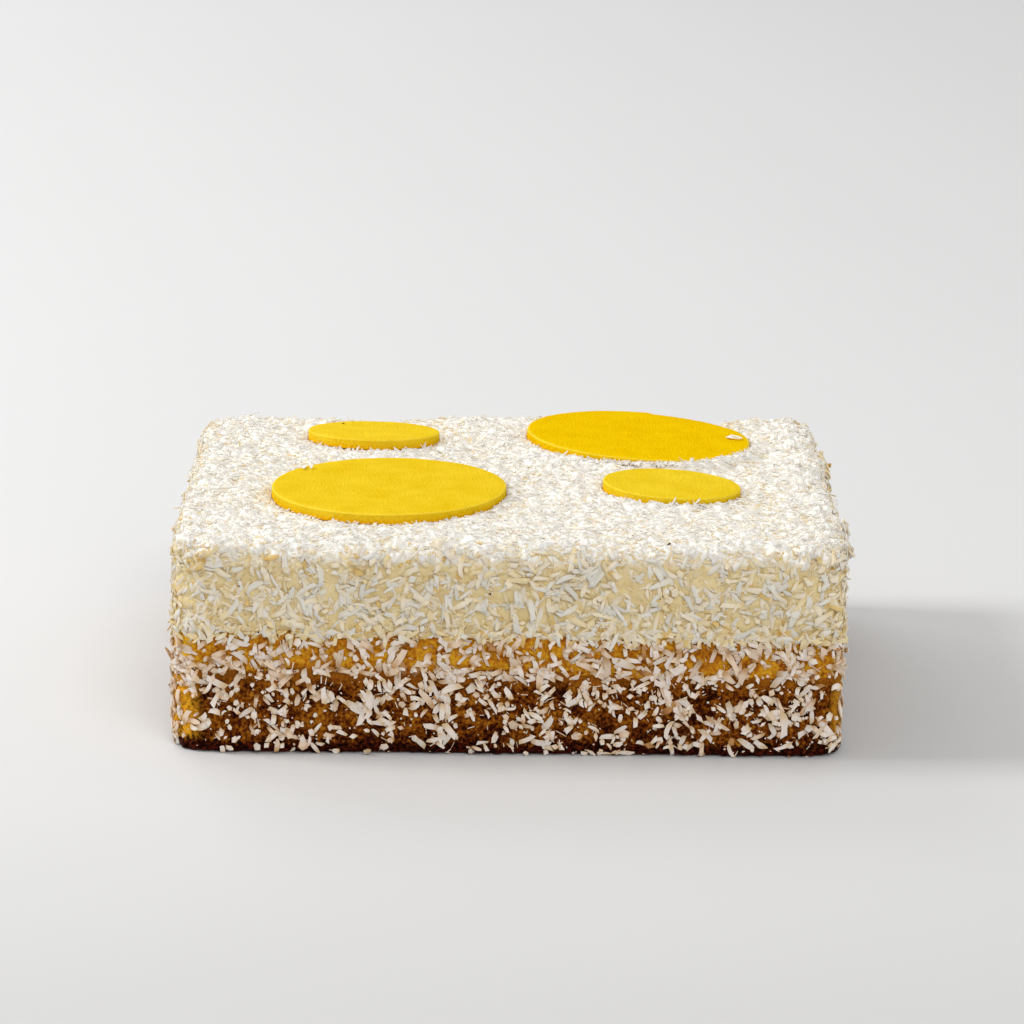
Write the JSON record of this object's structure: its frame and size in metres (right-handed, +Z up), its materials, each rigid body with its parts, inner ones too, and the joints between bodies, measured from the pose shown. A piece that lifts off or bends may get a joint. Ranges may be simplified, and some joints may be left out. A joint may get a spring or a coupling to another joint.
{
  "type": "coconut mango cake",
  "caption": "Rectangular layer cake of sponge, mango jelly and coconut cream, coated in shredded coconut and topped with round yellow mango discs.",
  "frame": {"origin": "middle of the footprint, on the surface that the cake stands on", "axes": "+X along the cake's width, +Y along its depth away from the front, +Z up"},
  "size_m": [0.16, 0.1352, 0.0556],
  "materials": {
    "sponge": "matt golden brown sponge crumb with a dark baked crust at the foot",
    "mango_jelly": "moist translucent amber jelly",
    "coconut_cream": "soft ivory cream under white shredded coconut",
    "mango_disc": "satin bright yellow with a faint leathery ripple",
    "coconut": "matt white coconut shreds"
  },
  "bodies": {
    "root": {"sponge": "sponge", "mango_jelly": "mango_jelly", "coconut_cream": "coconut_cream", "mango_disc_large_left": "mango_disc", "mango_disc_large_right": "mango_disc", "mango_disc_small_left": "mango_disc", "mango_disc_small_right": "mango_disc"}
  },
  "joints": []
}
